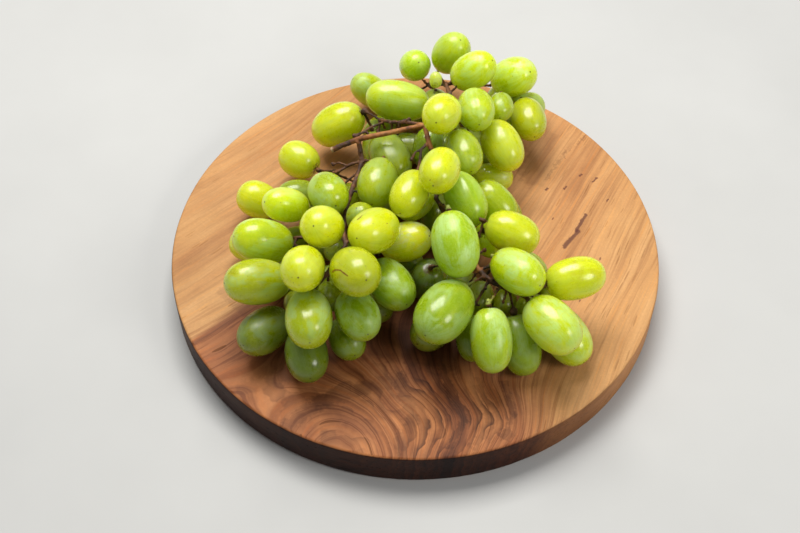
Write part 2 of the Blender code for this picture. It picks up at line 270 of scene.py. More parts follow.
def fibres_group():
    """Fine lines that run along Z of the vector given, close together across it."""
    bench, feed, leave = new_group("fibres", "Lines", Vector=None, Across=900.0, Along=30.0)
    stretch = bench.join(feed["Across"], feed["Across"], feed["Along"])
    lines = bench.noise(bench.vector("MULTIPLY", feed["Vector"], stretch), 1.0, 4.0, 0.6)
    return end_group(bench, lines, leave)


def mark_group():
    """One ragged stroke from a start to an end."""
    bench, feed, leave = new_group("mark", "Mask", Vector=None, Start=(0, 0, 0), End=(0.01, 0, 0),
                                   Width=0.001, Waver=0.001)
    shake = bench.put("ShaderNodeTexNoise", {"Vector": feed["Vector"], "Scale": 330.0, "Detail": 4.0,
                                             "Roughness": 0.6})
    offset = bench.vector("SUBTRACT", shake.outputs["Color"], (0.5, 0.5, 0.5))
    place = bench.vector("ADD", feed["Vector"], bench.scaled(offset, feed["Waver"]))
    run = bench.vector("SUBTRACT", feed["End"], feed["Start"])
    reach = bench.vector("SUBTRACT", place, feed["Start"])
    share = bench.math("DIVIDE", bench.vector("DOT_PRODUCT", reach, run),
                       bench.vector("DOT_PRODUCT", run, run), clamp=True)
    off = bench.vector("DISTANCE", reach, bench.scaled(run, share))
    ragged = bench.times(feed["Width"], bench.plus(0.4, bench.times(shake.outputs[0], 1.2)))
    return end_group(bench, bench.smooth(off, bench.times(ragged, 0.45), ragged, 1.0, 0.0), leave)


PATCHES = patches_group()
SPECKS = specks_group()
FIBRES = fibres_group()
MARK = mark_group()


def new_material(name):
    """Start a material; give it, its bench and its Principled shader."""
    material = bpy.data.materials.new(name)
    material.use_nodes = True
    return material, Bench(material.node_tree), material.node_tree.nodes["Principled BSDF"]


def finish_surface(bench, shader, body, rough, relief, strength, depth):
    """Join the colour, the roughness and the relief to the shader."""
    bump = bench.put("ShaderNodeBump", {"Strength": strength, "Distance": depth, "Height": relief})
    bench.feed(shader, {"Base Color": body, "Roughness": rough, "Normal": bump.outputs[0]})


# ---------------------------------------------------------------- grape skin

VEIN_PALE = (0.62, 0.70, 0.09)
SCAR_BROWN = (0.17, 0.050, 0.008)


def skin_material(name, marks=()):
    """Translucent grape skin: veins, freckles, waxy bloom with painted sheen on top, painted glow underneath,
    painted light and shade per berry, a dot at the tip and a brown ring at the stem.
    """
    material, bench, shader = new_material(name)
    place = bench.place()
    seed = bench.attribute("seed")
    ripe = bench.attribute("ripe")
    along = bench.attribute("along")
    seeds = bench.join(seed, seed, seed)
    drift = bench.vector("ADD", place, seeds)
    x, y, _ = bench.split(place)
    level = bench.join(x, y, 0.0)
    round_x, round_y, _ = bench.split(bench.vector("NORMALIZE", level))
    meridian = bench.vector("ADD", bench.join(round_x, round_y, bench.times(along, 0.12)), seeds)

    # Ripeness, with lighter clouds, a tan flush on the ripe side and a paler stem end.
    young = bench.blend(bench.smooth(ripe, 0.0, 0.5), COOL_GREEN, MID_GREEN)
    body = bench.blend(bench.smooth(ripe, 0.4, 1.0), young, GOLDEN)
    clouds = bench.smooth(bench.noise(drift, 110.0, 3.0, 0.55), 0.38, 0.68)
    body = bench.tint(body, clouds, 0.55, (1.36, 1.24, 0.9))
    tanned = bench.smooth(bench.noise(drift, 62.0, 3.0, 0.6), 0.54, 0.72)
    tanned = bench.times(tanned, bench.smooth(ripe, 0.45, 0.9))
    body = bench.paint(body, tanned, 0.50, (0.36, 0.30, 0.006))
    body = bench.paint(body, bench.smooth(along, -0.55, -1.0), 0.35, (0.30, 0.40, 0.03))

    # Veins that show through the skin from end to end.
    veins = bench.group(FIBRES, Vector=meridian, Across=6.5, Along=4.0)
    fine_veins = bench.group(FIBRES, Vector=meridian, Across=26.0, Along=9.0)
    pale = bench.smooth(bench.plus(bench.times(veins, 0.6), bench.times(fine_veins, 0.4)), 0.50, 0.64)
    body = bench.paint(body, pale, 0.30, VEIN_PALE)
    body = bench.tint(body, bench.smooth(veins, 0.46, 0.3), 0.30, (0.60, 0.68, 0.7))

    # Waxy bloom: brushed along the veins and rubbed off in spots. It is painted heaviest on the upward faces,
    # a painted sheen that stands in for the soft reflection of the light from above.
    wax = bench.group(PATCHES, Vector=bench.vector("MULTIPLY", drift, (1.0, 1.0, 0.60)), Scale=105.0,
                      Low=0.44, High=0.56)
    brushed = bench.smooth(fine_veins, 0.36, 0.58)
    rubbed = bench.group(PATCHES, Vector=drift, Scale=430.0, Low=0.50, High=0.58)
    wax = bench.times(wax, bench.plus(0.50, bench.times(brushed, 0.50)))
    wax = bench.times(wax, bench.minus(1.0, bench.times(rubbed, 0.5)))
    upward = bench.upward()
    # Painted sheen: the bloom's pale colour is laid heavier on the upward faces.
    settled = bench.smooth(upward, -0.35, 0.85, 0.25, 1.0)
    bloom_and_sheen = bench.times(bench.times(wax, bench.attribute("dusty")), settled)
    body = bench.paint(body, bloom_and_sheen, 0.78, BLOOM_AND_SHEEN_GREEN)
    # Painted glow: the downward faces are painted brighter and yellower, standing in for light that shines
    # through the berry.
    body = bench.tint(body, bench.smooth(upward, 0.35, -0.55), 0.35, (1.30, 1.16, 0.5))
    grains = bench.group(SPECKS, Vector=drift, Scale=1150.0, Size=0.30, Share=0.45)
    body = bench.paint(body, grains, 0.10, (0.62, 0.70, 0.20))
    # Painted light and shade: each berry's colour is scaled by its tone, lighter where light reaches it,
    # darker where the bunch shades it.
    body = bench.scaled(body, bench.attribute("tone"))

    # Freckles, spots and scars.
    freckles = bench.group(SPECKS, Vector=drift, Scale=420.0, Size=0.11, Share=0.12)
    body = bench.paint(body, freckles, 0.6, (0.12, 0.11, 0.01))
    spots = bench.group(SPECKS, Vector=drift, Scale=130.0, Size=0.05, Share=0.20)
    body = bench.paint(body, spots, 0.8, (0.10, 0.05, 0.01))
    for start, end, width in marks:
        stroke = bench.group(MARK, Vector=place, Start=start, End=end, Width=width, Waver=width * 1.1)
        body = bench.paint(body, stroke, 0.92, SCAR_BROWN)

    # The dried dot at the tip and the ring of brown crumbs at the stem end.
    reach = bench.vector("LENGTH", level)
    tip = bench.times(bench.smooth(reach, 0.0006, 0.00025), bench.math("GREATER_THAN", along, 0.0))
    body = bench.paint(body, tip, 0.9, (0.05, 0.04, 0.01))
    crumbs = bench.smooth(bench.noise(drift, 900.0, 2.0, 0.6), 0.40, 0.62, -0.0010, 0.0012)
    ring = bench.smooth(bench.plus(reach, crumbs), 0.0030, 0.0016)
    ring = bench.times(ring, bench.math("LESS_THAN", along, 0.0))
    body = bench.paint(body, ring, 0.8, (0.10, 0.055, 0.012))

    fine = bench.noise(drift, 700.0, 3.0, 0.6)
    rough = bench.plus(0.27, bench.times(bloom_and_sheen, 0.30))
    rough = bench.plus(rough, bench.times(bench.minus(fine, 0.5), 0.10))
    relief = bench.plus(bench.times(fine, 0.30), bench.times(veins, 0.5))
    relief = bench.minus(relief, bench.times(freckles, 0.5))
    finish_surface(bench, shader, body, rough, relief, 0.30, 0.0002)
    bench.feed(shader, {
        "Coat Weight": bench.minus(0.55, bench.times(bloom_and_sheen, 0.60), clamp=True),
        "Coat Roughness": 0.14,
        "Coat IOR": 1.40,
        "IOR": 1.40,
        "Specular IOR Level": 0.58,
        "Subsurface Weight": 1.0,
        "Subsurface Radius": (1.0, 1.0, 0.15),
        "Subsurface Scale": 0.032,
    })
    return material


# ---------------------------------------------------------------- stem bark

DARK_TWIG = ((0.36, (0.030, 0.011, 0.005)), (0.5, (0.085, 0.030, 0.010)), (0.68, (0.22, 0.085, 0.022)))
RUDDY_STALK = ((0.34, (0.12, 0.036, 0.009)), (0.5, (0.29, 0.100, 0.020)), (0.68, (0.46, 0.200, 0.045)))
FRESH_GREEN = ((0.3, (0.16, 0.20, 0.03)), (0.55, (0.30, 0.34, 0.05)), (0.75, (0.42, 0.40, 0.10)))
CUT_WOOD = (0.55, 0.42, 0.24)


def bark_material():
    """Dry bark: dark rough twigs, orange-brown stalk, green on the fresh pedicels, pale at the cut."""
    material, bench, shader = new_material("stalk bark")
    place = bench.place()
    blotch = bench.noise(place, 160.0, 3.0, 0.6)
    dark = bench.blend(bench.smooth(bench.attribute("smooth_bark"), 0.3, 0.7),
                       bench.ramp(blotch, DARK_TWIG), bench.ramp(blotch, RUDDY_STALK))
    fine = bench.group(FIBRES, Vector=place, Across=900.0, Along=500.0)
    dark = bench.blend(bench.smooth(fine, 0.55, 0.75, 0.0, 0.30), dark, (0.36, 0.17, 0.06))
    worn = bench.group(PATCHES, Vector=place, Scale=500.0, Low=0.5, High=0.62)
    share = bench.minus(bench.attribute("fresh"), bench.times(worn, 0.45), clamp=True)
    body = bench.blend(bench.smooth(share, 0.25, 0.75), dark, bench.ramp(blotch, FRESH_GREEN))
    warts = bench.group(SPECKS, Vector=place, Scale=900.0, Size=0.3, Share=0.35)
    body = bench.paint(body, warts, 0.6, (0.06, 0.03, 0.012))
    body = bench.blend(bench.attribute("cut"), body, CUT_WOOD)
    rough = bench.plus(0.5, bench.times(fine, 0.3))
    relief = bench.plus(bench.times(fine, 0.6), bench.times(warts, 0.5))
    finish_surface(bench, shader, body, rough, relief, 0.7, 0.0003)
    bench.feed(shader, {"Subsurface Weight": 0.15, "Subsurface Radius": (1.0, 0.6, 0.2),
                        "Subsurface Scale": 0.0008})
    return material


# ---------------------------------------------------------------- wood

GRAIN_HEADING = 53.0
GRAIN_FAN = 1.9
# The eye of wavy figure at the front edge: its middle, its reach and how far it lifts the grain, in metres.
EYE = (-0.024, -0.134)
EYE_REACH = 0.040
EYE_RISE = 0.088
CURL = (0.026, -0.103)
# The line between the red heartwood and the pale sapwood, as a distance across the grain.
BORDER = 0.0345
SAPWOOD = ((0.26, (0.40, 0.180, 0.066)), (0.5, (0.53, 0.275, 0.105)), (0.74, (0.63, 0.360, 0.155)))
HEARTWOOD = ((0.33, (0.100, 0.029, 0.011)), (0.47, (0.280, 0.094, 0.034)), (0.66, (0.47, 0.190, 0.068)))
TAN = ((0.30, (0.29, 0.116, 0.041)), (0.5, (0.48, 0.230, 0.086)), (0.74, (0.64, 0.350, 0.143)))
GROWTH_LINE = ((0.0, (0, 0, 0)), (0.08, (1, 1, 1)), (0.38, (0.5, 0.5, 0.5)), (0.9, (0, 0, 0)))
DARK_LINE = (0.050, 0.016, 0.008)
BAND_AND_SHADOW_BROWN = (0.085, 0.028, 0.012)
MINERAL_BROWN = (0.085, 0.022, 0.016)
# The wall's darker end grain with painted shade: its tone on the left, at the front and on the right, darkest
# on the left, where the wall faces away from the light.
WALL_GRAIN_AND_SHADE = ((0.10, 0.065, 0.055), (0.46, 0.36, 0.31), (0.90, 0.78, 0.70))
# Dark cloudy bands in the heartwood round the eye, and wide bands of painted shadow in front of the bunch
# and beside its right side: start and end across the board and half width, in millimetres, and strength.
DARK_BANDS_AND_SHADOWS = (
    ((-82, -87), (-62, -79), 5.0, 0.55), ((-62, -79), (-42, -72), 6.0, 0.60),
    ((-59, -107), (-45, -94), 5.0, 0.65), ((-45, -94), (-25, -87), 5.5, 0.70),
    ((-25, -87), (-8, -82), 5.5, 0.65), ((-8, -82), (-2, -104), 4.5, 0.75),
    ((-2, -104), (-8, -118), 4.5, 0.70), ((12, -77), (22, -104), 2.8, 0.75),
    ((22, -104), (15, -118), 2.6, 0.70), ((29, -81), (35, -107), 2.4, 0.60),
    ((35, -107), (25, -118), 2.2, 0.60), ((42, -84), (45, -101), 2.2, 0.50),
    ((45, -101), (39, -113), 2.0, 0.55), ((40, -111), (42, -112), 4.0, 0.90),
    ((-20, -60), (20, -68), 14.0, 0.75), ((-95, -30), (-70, -52), 6.0, 0.40),
    ((64, 48), (72, 76), 10.0, 0.42), ((71, 45.8), (83.3, 65), 1.3, 0.60),
    ((83.3, 65), (95.5, 77.9), 1.0, 0.50),
)
BAND_WAVER = 0.009
# Dark mineral marks on the right of the board: start and end across it and half width, in millimetres.
MINERAL_MARKS = (
    ((84, 9.5), (90, 20.5), 1.2), ((77, -1), (85, 9.5), 1.7), ((80, 38.5), (81.5, 40.5), 0.9),
    ((70.5, 38), (71.5, 39), 0.8), ((96, 44), (98.5, 46.5), 0.8), ((89.5, 48), (90.5, 49.2), 0.7),
    ((102, 30), (103, 31.5), 0.6),
)
MINERAL_WAVER = 0.0022


def wood_mark(bench, at, start, end, width, waver):
    """One ragged stroke on the board, from millimetres across it."""
    start, end = ((x * MM, y * MM, 0.0) for x, y in (start, end))
    return bench.group(MARK, Vector=at, Start=start, End=end, Width=width * MM, Waver=waver)


def grain_field(bench, place, x, y, depth):
    """Give the grain: across it with the eye and without, along it, and the distance from the eye."""
    turned = bench.put("ShaderNodeVectorRotate", {"Vector": place, "Angle": math.radians(-GRAIN_HEADING)},
                       rotation_type="Z_AXIS").outputs[0]
    u, v, _ = bench.split(turned)
    fan = bench.plus(1.0, bench.times(u, GRAIN_FAN * 0.8))
    bow = bench.times(bench.times(u, u), GRAIN_FAN * 0.3)
    plain = bench.minus(bench.times(v, fan), bow)
    curl_y = bench.smooth(bench.math("ABSOLUTE", bench.minus(y, CURL[1])), 0.024, 0.0)
    curl_x = bench.smooth(bench.math("ABSOLUTE", bench.minus(x, CURL[0])), 0.040, 0.012)
    lean = bench.times(bench.times(curl_y, curl_x), 0.008)
    from_eye = bench.join(bench.minus(bench.minus(x, lean), EYE[0]), bench.minus(y, EYE[1]), 0.0)
    away = bench.vector("LENGTH", from_eye)
    ratio = bench.math("DIVIDE", away, EYE_REACH)
    swell = bench.math("POWER", math.e, bench.times(bench.times(ratio, ratio), -0.5))
    across = bench.plus(plain, bench.times(swell, EYE_RISE))
    across = bench.plus(across, bench.times(lean, 0.7))
    stretch = bench.join(bench.times(u, 10.0), bench.times(v, 24.0), depth)
    wander = bench.minus(bench.noise(stretch, 1.0, 3.0, 0.5), 0.5)
    across = bench.plus(across, bench.times(wander, 0.010))
    across = bench.plus(across, bench.times(depth, 0.35))
    return across, plain, u, away


def wood_material():
    """Oiled hardwood: straight pale sapwood, reddish heartwood, an eye with wavy dark strokes beside it,
    painted shadow round the bunch, painted sheen and glints, and painted shade on the wall.
    """
    material, bench, shader = new_material("oiled board wood")
    place = bench.place()
    x, y, depth = bench.split(place)
    at = bench.join(x, y, 0.0)
    across, plain, u, away = grain_field(bench, place, x, y, depth)

    # Where the figure is wild, and the tone of the grain.
    wild = bench.smooth(away, 0.098, 0.055)
    curly = bench.times(bench.smooth(x, -0.016, 0.006), bench.smooth(x, 0.056, 0.036))
    curly = bench.times(curly, bench.smooth(y, -0.060, -0.085))
    kink = bench.minus(bench.noise(place, 70.0, 3.0, 0.55), 0.5)
    kinked = bench.plus(across, bench.times(bench.times(kink, 0.012), wild))
    bands = bench.noise(bench.join(bench.times(kinked, 62.0), bench.times(u, 6.0), bench.times(depth, 14.0)),
                        1.0, 4.0, 0.55, 0.2)
    cloud = bench.noise(place, 34.0, 3.0, 0.55)
    tone = bench.plus(bench.times(bands, 0.75), bench.times(cloud, 0.25))

    # Red heartwood up to the border, pale sapwood beyond it, tan on the right with a pale edge that is partly
    # sapwood and partly painted sheen.
    sap = bench.ramp(tone, SAPWOOD)
    border = bench.plus(plain, bench.times(bench.minus(bands, 0.5), 0.008))
    body = bench.blend(bench.smooth(border, BORDER, BORDER + 0.0040), bench.ramp(tone, HEARTWOOD), sap)
    rightward = bench.plus(x, bench.times(y, 0.30))
    body = bench.blend(bench.smooth(rightward, 0.008, 0.040), body, bench.ramp(tone, TAN))
    # Painted sheen: the right edge is painted with the pale sapwood colour, partly the wood's own and partly
    # standing in for light glancing off the oil there.
    pale_edge_and_sheen = bench.plus(x, bench.times(y, -0.25))
    body = bench.blend(bench.smooth(pale_edge_and_sheen, 0.074, 0.108), body, sap)
    limit = bench.smooth(bench.math("ABSOLUTE", bench.minus(border, BORDER + 0.0003)), 0.0020, 0.0002)
    limit = bench.times(limit, bench.smooth(x, -0.02, -0.05))
    body = bench.paint(body, limit, 0.55, (0.115, 0.036, 0.018))

    # Growth lines: a sharp dark edge that fades away on one side.
    phase = bench.plus(bench.times(kinked, 128.0), bench.times(cloud, 2.6))
    line = bench.red(bench.ramp(bench.math("FRACT", phase), GROWTH_LINE))
    broken = bench.smooth(bench.noise(place, 55.0, 2.0, 0.5), 0.36, 0.62)
    strength = bench.plus(0.08, bench.times(wild, 0.34))
    strength = bench.plus(strength, bench.times(curly, 0.45))
    strength = bench.times(strength, bench.plus(0.25, bench.times(broken, 0.75)))
    body = bench.paint(body, line, strength, DARK_LINE)
    front_left = bench.times(bench.smooth(y, -0.05, -0.08), bench.smooth(x, 0.052, 0.028))
    gloom = bench.times(bench.smooth(tone, 0.50, 0.36), front_left)
    body = bench.paint(body, gloom, 0.55, (0.070, 0.022, 0.011))
    # Dark bands round the eye, and painted shadow in front of the bunch and beside its right side.
    for start, end, width, band_and_shadow_strength in DARK_BANDS_AND_SHADOWS:
        stroke = wood_mark(bench, at, start, end, width, BAND_WAVER)
        stroke = bench.times(stroke, bench.smooth(tone, 0.62, 0.40, 0.35, 1.0))
        body = bench.paint(body, stroke, band_and_shadow_strength, BAND_AND_SHADOW_BROWN)

    # Fibres, streaks, pores and flecks along the grain, calmer on the pale wood.
    grain_at = bench.join(across, depth, u)
    fibres = bench.group(FIBRES, Vector=grain_at, Across=820.0, Along=24.0)
    calm = bench.times(bench.smooth(border, BORDER, 0.0450, 1.0, 0.30),
                       bench.smooth(rightward, 0.010, 0.045, 1.0, 0.42))
    body = bench.tint(body, bench.smooth(fibres, 0.50, 0.32), calm, (0.60, 0.50, 0.44))
    streaks = bench.group(FIBRES, Vector=grain_at, Across=330.0, Along=9.0)
    calm = bench.times(calm, 0.75)
    body = bench.tint(body, bench.smooth(streaks, 0.50, 0.36), calm, (0.62, 0.52, 0.46))
    body = bench.tint(body, bench.smooth(streaks, 0.52, 0.66), calm, (1.18, 1.20, 1.22))
    body = bench.blend(bench.smooth(fibres, 0.52, 0.75, 0.0, 0.45), body, (0.80, 0.52, 0.28), "SOFT_LIGHT")
    # Painted glints: small specks lightened all over the board, standing in for glints of light on the oiled
    # wood.
    painted_glints = bench.group(FIBRES, Vector=place, Across=700.0, Along=700.0)
    body = bench.blend(bench.smooth(painted_glints, 0.45, 0.65, 0.0, 0.25), body, (1.28, 1.25, 1.2), "MULTIPLY")
    pores = bench.group(SPECKS, Vector=bench.vector("MULTIPLY", grain_at, (1.0, 1.0, 0.10)), Scale=640.0,
                        Size=0.24, Share=0.28)
    body = bench.paint(body, pores, bench.times(calm, 0.8), (0.12, 0.045, 0.020))
    flecks = bench.group(SPECKS, Vector=bench.vector("MULTIPLY", grain_at, (1.0, 1.0, 0.45)), Scale=170.0,
                         Size=0.085, Share=0.15)
    flecks = bench.times(flecks, bench.smooth(x, 0.03, 0.07))
    body = bench.paint(body, flecks, 0.70, (0.13, 0.040, 0.022))
    for start, end, width in MINERAL_MARKS:
        stroke = wood_mark(bench, at, start, end, width, MINERAL_WAVER)
        body = bench.paint(body, stroke, 0.80, MINERAL_BROWN)

    # The wall: darker end grain, with painted shade that makes it darkest on the left, away from the light.
    wall = bench.smooth(bench.math("ABSOLUTE", bench.upward()), 0.80, 0.35)
    turn = bench.plus(x, bench.times(y, 0.5))
    wall_grain_and_shade = bench.blend(bench.smooth(turn, -0.04, 0.03), WALL_GRAIN_AND_SHADE[0], WALL_GRAIN_AND_SHADE[1])
    wall_grain_and_shade = bench.blend(bench.smooth(turn, 0.025, 0.075), wall_grain_and_shade, WALL_GRAIN_AND_SHADE[2])
    body = bench.blend(wall, body, wall_grain_and_shade, "MULTIPLY")

    shine = bench.noise(place, 22.0, 3.0, 0.6)
    rough = bench.plus(0.46, bench.times(shine, 0.14))
    rough = bench.plus(rough, bench.times(fibres, 0.10))
    rough = bench.plus(rough, bench.times(pores, 0.2))
    relief = bench.minus(bench.times(fibres, 0.7), bench.times(pores, 0.8))
    relief = bench.minus(relief, bench.times(flecks, 0.8))
    finish_surface(bench, shader, body, rough, relief, 0.35, 0.0003)
    bench.feed(shader, {"Specular IOR Level": 0.20})
    return material


# ---------------------------------------------------------------- shapes

def link(name, data):
    """Put data into the scene as an object."""
    item = bpy.data.objects.new(name, data)
    bpy.context.scene.collection.objects.link(item)
    return item


def add_object(name, mesh, material):
    """Put a finished mesh with its one material into the scene."""
    mesh.materials.append(material)
    return link(name, mesh)


def mesh_from(name, work):
    """Turn a worked bmesh into a smooth mesh."""
    mesh = bpy.data.meshes.new(name)
    work.to_mesh(mesh)
    work.free()
    mesh.shade_smooth()
    return mesh


def write_attribute(mesh, name, values):
    """Store one number for each point of a mesh."""
    made = mesh.attributes.new(name, "FLOAT", "POINT")
    made.data.foreach_set("value", np.asarray(values, dtype=np.float32))


def close_walls(work, rings):
    """Join each ring of points to the next with faces."""
    for lower, upper in zip(rings[:-1], rings[1:]):
        for turn in range(len(lower)):
            after = (turn + 1) % len(lower)
            work.faces.new((lower[turn], lower[after], upper[after], upper[turn]))


class Berry:
    """One grape's place, size and axis, from its stem end to its tip."""

    def __init__(self, name, centre, axis, length, width):
        self.name = name
        self.centre = np.array(centre, dtype=float)
        self.axis = np.array(axis, dtype=float)
        self.length = length
        self.width = width

    def inverse(self):
        """Give the matrix that turns an offset from the centre into its reach, 1 on the skin."""
        along = np.outer(self.axis, self.axis)
        half = (self.width / 2) ** 2
        return np.linalg.inv(half * np.eye(3) + ((self.length / 2) ** 2 - half) * along)

    def clearance(self, points):
        """Give the distance of points from the skin and the way out."""
        pull = (points - self.centre) @ self.inverse()
        reach = np.sqrt(np.maximum(np.einsum("ij,ij->i", points - self.centre, pull), 1e-9))
        steep = np.linalg.norm(pull, axis=1)
        return reach * (reach - 1) / steep, pull / steep[:, None]

    def skin(self):
        """Give points spread over the skin."""
        side = np.cross(self.axis, [0.3, 0.9, 0.2])
        side /= np.linalg.norm(side)
        other = np.cross(self.axis, side)
        points = []
        for ring in np.linspace(-0.95, 0.95, 9):
            radius = math.sqrt(1 - ring * ring) * self.width / 2
            for turn in np.linspace(0, 2 * math.pi, 12, endpoint=False):
                points.append(self.centre + self.axis * ring * self.length / 2
                              + (side * math.cos(turn) + other * math.sin(turn)) * radius)
        return np.array(points)

    def stem_end(self, gap=0.0):
        return self.centre - self.axis * (self.length / 2 + gap)


def node_points(node):
    """Give a CAD node's points."""
    return np.array([point.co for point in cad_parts[node].data.vertices], dtype=float)


def measure_berry(node, stem_points):
    """Read a berry's centre, axis and size from its CAD solid; its stem end is the one by a pedicel."""
    points = node_points(node)
    centre = (points.max(0) + points.min(0)) / 2
    for _ in range(2):
        spread = (points - centre).T @ (points - centre)
        _, axes = np.linalg.eigh(spread)
        axis = axes[:, 2]
        reach = (points - centre) @ axis
        centre = centre + axis * (reach.max() + reach.min()) / 2
    reach = (points - centre) @ axis
    length = reach.max() - reach.min()
    across = np.linalg.norm(points - centre - np.outer(reach, axis), axis=1)
    ends = [centre - axis * length / 2, centre + axis * length / 2]
    nearest = [np.linalg.norm(stem_points - end, axis=1).min() for end in ends]
    if nearest[1] < nearest[0]:
        axis = -axis
    return Berry(node, centre, axis, length, across.max() * 2)


def squeeze(berry, others, near_stem):
    """Give the push that frees a berry from its neighbours, the stem and the board, and its tightest lack."""
    push = np.zeros(3)
    worst = 0.0
    skin = berry.skin()
    touches = [(other.clearance(skin), 1) for other in others]
    if len(near_stem):
        touches.append((berry.clearance(near_stem), -1))
    for (distance, outward), way in touches:
        tight = int(np.argmin(distance))
        lack = DEEP_GAP - distance[tight]
        if lack > 0:
            push += way * outward[tight] * lack
            worst = max(worst, lack)
    sink = BOARD_TOP + DEEP_GAP - skin[:, 2].min()
    if sink > 0:
        push[2] += sink
        worst = max(worst, sink)
    return push, worst


def tuck_in(berries, stem_points):
    """Settle the deep berries into the room that the others leave."""
    settled = []
    for number, (x, y, height, length, width, heading, rise) in enumerate(DEEP_BERRIES, 1):
        berry = Berry(f"grape_deep_{number:02d}", mm(x, y, height), heading_vector(heading, rise),
                      length * MM, width * MM)
        home = berry.centre.copy()
        others = [other for other in berries + settled if np.linalg.norm(other.centre - home)
                  < (other.length + berry.length) / 2 + DEEP_NEAR_BERRY]
        from_home = np.linalg.norm(stem_points - home, axis=1)
        near_stem = stem_points[from_home < berry.length + DEEP_NEAR_STEM]
        for _ in range(DEEP_ROUNDS):
            push, worst = squeeze(berry, others, near_stem)
            if worst < DEEP_SETTLED:
                break
            berry.centre += push * DEEP_STEP
            if worst > DEEP_SQUEEZED:
                berry.length *= DEEP_SHRINK
                berry.width *= DEEP_SHRINK
        if worst < DEEP_WORST and berry.width > DEEP_NARROWEST:
            settled.append(berry)
    return settled


# The fine berry against the CAD berry, and the finer shape at its ends: height as a share of its half
# length, and reach in metres.
FIT = 0.994
LUMPS = 0.018
DIMPLE, DIMPLE_REACH = 0.045, 0.0022
TIP, TIP_REACH, TIP_DROP = 0.010, 0.0007, 0.012
# A berry narrower than this stayed small and hard: it is turned with fewer sides and has no collar.
SHOT_WIDTH = 0.01


def shape_berry(berry, rng):
    """Turn one berry: a blunt oval, a little fuller towards the tip, dimpled at the stem, with a tiny tip."""
    work = bmesh.new()
    turns, rings = (44, 30) if berry.width > SHOT_WIDTH else (28, 20)
    bmesh.ops.create_uvsphere(work, u_segments=turns, v_segments=rings, radius=1.0)
    fuller = rng.uniform(0.0, 0.05)
    blunt = rng.uniform(2.12, 2.30)
    shift = Vector((rng.uniform(0, 50), rng.uniform(0, 50), rng.uniform(0, 50)))
    half_width = berry.width / 2 * FIT
    half_length = berry.length / 2 * FIT
    along = []
    for point in work.verts:
        x, y, z = point.co
        radius = math.hypot(x, y)
        lump = 1.0 + LUMPS * noise.noise(Vector((x, y, z)) * 1.3 + shift)
        full = max(0.0, 1 - abs(z) ** blunt) ** (1 / blunt) * (1 - fuller * (1 - z) * 0.5) * min(1.0, lump)
        share = full / radius if radius > 1e-6 else 0.0
        height = z
        across = radius * half_width
        if z < 0:
            height += DIMPLE * math.exp(-(across / DIMPLE_REACH) ** 2)
        else:
            height += TIP * math.exp(-(across / TIP_REACH) ** 2) - TIP_DROP
        point.co = Vector((x * share * half_width, y * share * half_width, height * half_length))
        along.append(z)
    mesh = mesh_from(berry.name + "_skin", work)
    count = len(mesh.vertices)
    ripe, dusty = USUAL_RIPENESS, USUAL_BLOOM
    if berry.name in RIPER:
        ripe, dusty = RIPER_LEVEL, RUBBED_BLOOM
    elif berry.name in GREENER:
        ripe = GREENER_LEVEL
    if berry.name in DUSTIER:
        dusty = HEAVY_BLOOM
    write_attribute(mesh, "along", along)
    write_attribute(mesh, "ripe", [ripe + rng.uniform(-0.10, 0.05)] * count)
    write_attribute(mesh, "dusty", [dusty + rng.uniform(-0.15, 0.0)] * count)
    # The tone is painted shade on the deep berries and painted light and shade on the listed ones.
    tone = DEEP_PAINTED_SHADE if "deep" in berry.name else 1.0
    for names, level in LIT_AND_SHADED_TONES:
        if berry.name in names:
            tone = level
    write_attribute(mesh, "tone", [tone * rng.uniform(0.96, 1.04)] * count)
    write_attribute(mesh, "seed", [rng.uniform(0, 9)] * count)
    return mesh


def place_berry(berry, mesh, material, rng):
    """Stand a berry's mesh on its axis in its place."""
    item = add_object(berry.name.replace("grape", "berry"), mesh, material)
    turn = Vector(berry.axis).to_track_quat("Z", "Y")
    roll = Quaternion((0, 0, 1), rng.uniform(0, 2 * math.pi))
    item.rotation_mode = "QUATERNION"
    item.rotation_quaternion = turn @ roll
    item.location = berry.centre
    return item


# ---------------------------------------------------------------- stem

